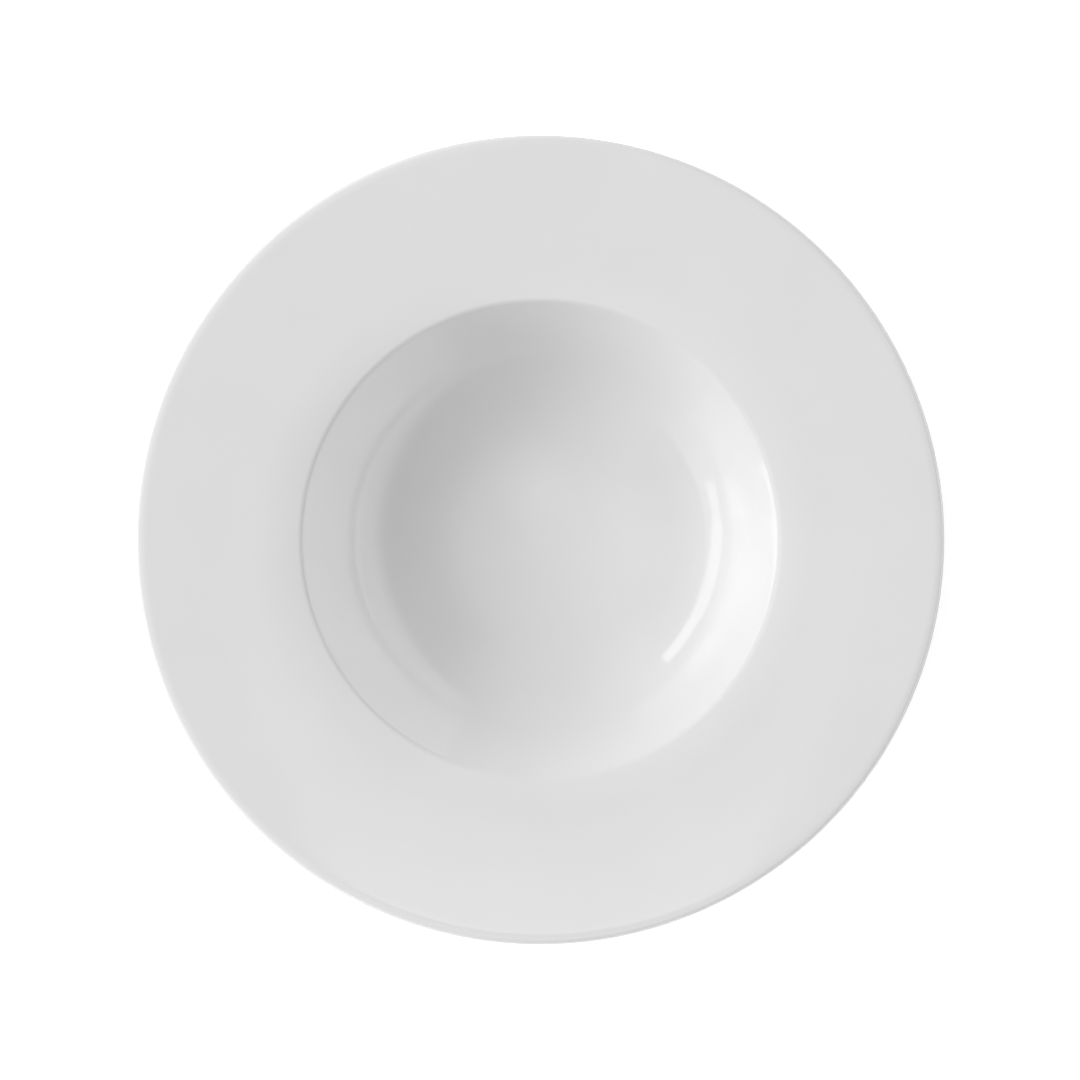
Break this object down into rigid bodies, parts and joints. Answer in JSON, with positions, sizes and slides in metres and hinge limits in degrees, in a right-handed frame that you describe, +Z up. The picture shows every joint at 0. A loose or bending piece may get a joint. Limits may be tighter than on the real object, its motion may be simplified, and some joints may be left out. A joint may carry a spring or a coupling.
{
  "type": "pasta plate",
  "caption": "Deep round porcelain pasta plate with a wide, slightly rising rim, a rounded well and a foot ring; white glossy glaze except on the edge it stands on.",
  "frame": {"origin": "on the table, under the middle of the plate", "axes": "+Z up along the plate's axis of symmetry"},
  "size_m": [0.3, 0.3, 0.0565],
  "materials": {
    "bare_porcelain": "matte",
    "white_glaze": "gloss"
  },
  "bodies": {
    "root": {"porcelain_body": "bare_porcelain", "main_glaze": "white_glaze", "base_glaze": "white_glaze"}
  },
  "joints": []
}
